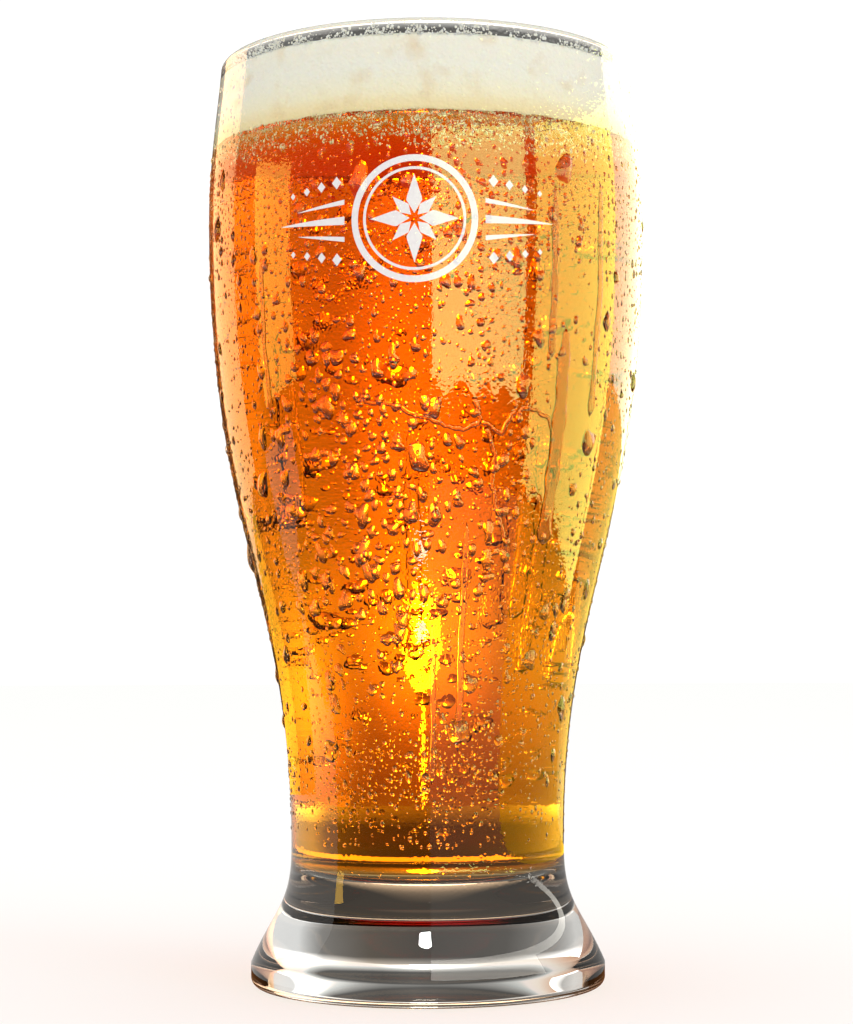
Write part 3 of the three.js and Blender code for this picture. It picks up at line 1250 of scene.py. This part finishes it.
by_panel = steps_of(tree, across_room, panel_stops)
mixed = add(
    tree,
    "ShaderNodeMix",
    {"Factor": 1.0, "A": by_height, "B": by_panel},
    data_type="RGBA",
    blend_type="MULTIPLY",
)
glow_centre = (0.0, 1.22, 0.24)
offset = add(tree, "ShaderNodeVectorMath", {0: place, 1: glow_centre}, operation="SUBTRACT").outputs[0]
oval = add(tree, "ShaderNodeVectorMath", {0: offset, 1: (1, 0, 1.5)}, operation="MULTIPLY").outputs[0]
away = add(tree, "ShaderNodeVectorMath", {0: oval}, operation="LENGTH").outputs["Value"]
fade = add(
    tree,
    "ShaderNodeMapRange",
    {"Value": away, "From Min": 0.04, "From Max": 0.3, "To Min": 2.9, "To Max": 1.3},
    interpolation_type="SMOOTHSTEP",
)
low_centre = (0.85, 0.9, 0.05)
low_offset = add(tree, "ShaderNodeVectorMath", {0: place, 1: low_centre}, operation="SUBTRACT").outputs[0]
low_oval = add(tree, "ShaderNodeVectorMath", {0: low_offset, 1: (1, 1, 1.8)}, operation="MULTIPLY").outputs[0]
low_away = add(tree, "ShaderNodeVectorMath", {0: low_oval}, operation="LENGTH").outputs["Value"]
low_fade = add(
    tree,
    "ShaderNodeMapRange",
    {"Value": low_away, "From Min": 0.25, "From Max": 0.75, "To Min": 3.2, "To Max": 0.0},
    interpolation_type="SMOOTHSTEP",
)
both = add(tree, "ShaderNodeMath", {0: fade.outputs[0], 1: low_fade.outputs[0]}, operation="ADD")
stage_glow(room, tree, mixed.outputs["Result"], both.outputs[0], "glass")

# %% [markdown]
# Between the soft boxes the studio is dark, and so is its mirror image. The table close round the
# foot is dark in the mirror as well, and behind the glass a pale ring lies on it, which the
# bottom of the beer looks down at.

# %% The dark studio and the rings on the table
surround = dome("dark_studio", 1.8, 180)
surround_material, tree = new_material("dark_studio_glow")
surround.data.materials.append(surround_material)
stage_glow(surround, tree, linear("#FFC890"), 0.07, "mirrors")


def table_ring(name, start, end, inner, outer, colour, strength, seen_by, height=-FLOOR_GAP / 4):
    """A flat glowing ring on the table, or higher, between two bearings."""
    points, faces = [], []
    for step in range(25):
        bearing = math.radians(start + (end - start) * step / 24)
        x, y = math.sin(bearing), -math.cos(bearing)
        points += [(x * inner, y * inner, height), (x * outer, y * outer, height)]
    for step in range(24):
        faces.append((2 * step, 2 * step + 1, 2 * step + 3, 2 * step + 2))
    made = to_object(name, points, faces, False)
    material, tree = new_material(name + "_glow")
    made.data.materials.append(material)
    stage_glow(made, tree, linear(colour), strength, seen_by)


table_ring("dark_ring", 0, 360, 0.005, 0.1, "#B07040", 0.5, "mirrors")
table_ring("shelf_top", 54, 128, 0.029, 0.24, "#F0B830", 2.6, "mirrors", 0.0245)
table_ring("shelf_underside", 1.5, 128, 0.029, 0.24, "#C8C4C0", 0.5, "mirrors", 0.024)
table_ring("shelf_underglow", 1.5, 128, 0.046, 0.24, "#ECE8DE", 4.5, "mirrors", 0.0235)
table_ring("pale_ring", 90, 188, 0.056, 0.14, "#F8D0A8", 3.2, "glass")
table_ring("pale_table", 100, 165, 0.14, 1.2, "#F0C090", 1.5, "glass")
table_ring("dark_patch", 189, 262, 0.05, 0.25, "#5A4636", 1.0, "glass")

# %% [markdown]
# Clear glass is drawn by the dark things that it bends into view. A dark sheet lies on the floor
# round the glass, brighter where the floor of the cup looks at it, and a low dark card stands
# close behind the foot. Only light that has come through the glass sees them, so the floor itself
# stays pale.

# %% A dark sheet that draws the foot
sheet_points, sheet_faces = [], []
sheet_radii = (0.0, 0.06, 0.14, 0.3, 0.6, 1.25)
SHEET_SIDES = 48
for radius in sheet_radii:
    for step in range(SHEET_SIDES):
        angle = 2 * math.pi * step / SHEET_SIDES
        sheet_points.append((radius * math.cos(angle), radius * math.sin(angle), -FLOOR_GAP / 2))
for ring in range(len(sheet_radii) - 1):
    for step in range(SHEET_SIDES):
        after = (step + 1) % SHEET_SIDES
        low, high = ring * SHEET_SIDES, (ring + 1) * SHEET_SIDES
        sheet_faces.append((low + step, high + step, high + after, low + after))
dark_sheet = to_object("dark_sheet", sheet_points, sheet_faces, False)
sheet_material, tree = new_material("dark_sheet_glow")
dark_sheet.data.materials.append(sheet_material)
place = add(tree, "ShaderNodeTexCoord").outputs["Object"]
distance = add(tree, "ShaderNodeVectorMath", {0: place}, operation="LENGTH").outputs["Value"]
sheet_stops = (
    (0.0, "#3A3632"), (0.044, "#46403A"), (0.056, "#F0C8A0"), (0.14, "#F8D0A8"), (0.3, "#C09A78"),
    (0.6, "#AC8A68"), (1.0, "#AC8A68"),
)
stage_glow(dark_sheet, tree, steps_of(tree, distance, sheet_stops), 1.0, "glass")

# %% A low dark card close behind the foot
FOOT_CARD_Y = 0.1
FOOT_CARD_HALF = 0.08
FOOT_CARD_TOP = 0.0305
foot_corners = [
    (-FOOT_CARD_HALF, 0),
    (FOOT_CARD_HALF, 0),
    (FOOT_CARD_HALF, FOOT_CARD_TOP),
    (-FOOT_CARD_HALF, FOOT_CARD_TOP),
]
foot_card = to_object("foot_card", [(x, FOOT_CARD_Y, z) for x, z in foot_corners], [(0, 1, 2, 3)], False)
foot_card_material, tree = new_material("foot_card_glow")
foot_card.data.materials.append(foot_card_material)
place = add(tree, "ShaderNodeTexCoord").outputs["Object"]
axes = add(tree, "ShaderNodeSeparateXYZ", {0: place}).outputs
ends = {"Value": axes["X"], "From Min": -FOOT_CARD_HALF, "From Max": FOOT_CARD_HALF}
along_card = add(tree, "ShaderNodeMapRange", ends).outputs[0]
foot_stops = (
    (0.0, "#E8E4E0"), (0.14, "#E0DCD8"), (0.28, "#A09C98"), (0.41, "#5E5A56"), (0.5, "#54504C"),
    (0.56, "#625A52"), (0.64, "#84807C"), (0.72, "#E4E2E0"), (1.0, "#F4F2F0"),
)
paler_top = add(
    tree,
    "ShaderNodeMapRange",
    {
        "Value": axes["Z"],
        "From Min": 0.8 * FOOT_CARD_TOP,
        "From Max": FOOT_CARD_TOP,
        "To Min": 1.0,
        "To Max": 5.5,
    },
)
stage_glow(foot_card, tree, steps_of(tree, along_card, foot_stops), paler_top.outputs[0], "glass")


# %% Soft light on the head from the right
def soft_light(name, place, size, power):
    data = bpy.data.lights.new(name, "AREA")
    data.size = size
    data.energy = power
    made = bpy.data.objects.new(name, data)
    made.location = place
    made.rotation_euler = (Vector((0, 0, 0.12)) - Vector(place)).to_track_quat("-Z", "Y").to_euler()
    made.visible_glossy = False
    made.visible_transmission = False
    scene.collection.objects.link(made)
    return made


soft_light("key_right", (1.0, -0.8, 0.9), 0.7, 2.5)

# %% [markdown]
# ## The camera
# The photograph is taken from close by and low down, with the eye a third of the way up the
# glass, so the underside of the head shows through the beer. The place and the lens were found
# by fitting the outline of the glass.

# %% Camera
CAMERA_DISTANCE = 0.4557
CAMERA_HEIGHT = 0.0648
PITCH = math.radians(3.41)
ROLL = 0.00336
camera_data = bpy.data.cameras.new("camera")
camera_data.sensor_width = 36
camera_data.lens = 81.35
camera_data.clip_start = 0.01
camera = bpy.data.objects.new("camera", camera_data)
level_right = Vector((1, 0, 0))
level_up = Vector((0, -math.sin(PITCH), math.cos(PITCH)))
ahead = Vector((0, math.cos(PITCH), math.sin(PITCH)))
right = level_right * math.cos(ROLL) - level_up * math.sin(ROLL)
up = level_right * math.sin(ROLL) + level_up * math.cos(ROLL)
turned = Matrix((right, up, -ahead)).transposed().to_4x4()
camera.matrix_world = Matrix.Translation((0, -CAMERA_DISTANCE, CAMERA_HEIGHT)) @ turned
scene.collection.objects.link(camera)
scene.camera = camera

# %% How the picture is developed
scene.view_settings.view_transform = "Standard"
scene.cycles.max_bounces = 14
scene.cycles.diffuse_bounces = 3
scene.cycles.transmission_bounces = 14
scene.cycles.glossy_bounces = 4
scene.cycles.transparent_max_bounces = 16
scene.cycles.caustics_reflective = False
scene.cycles.caustics_refractive = False
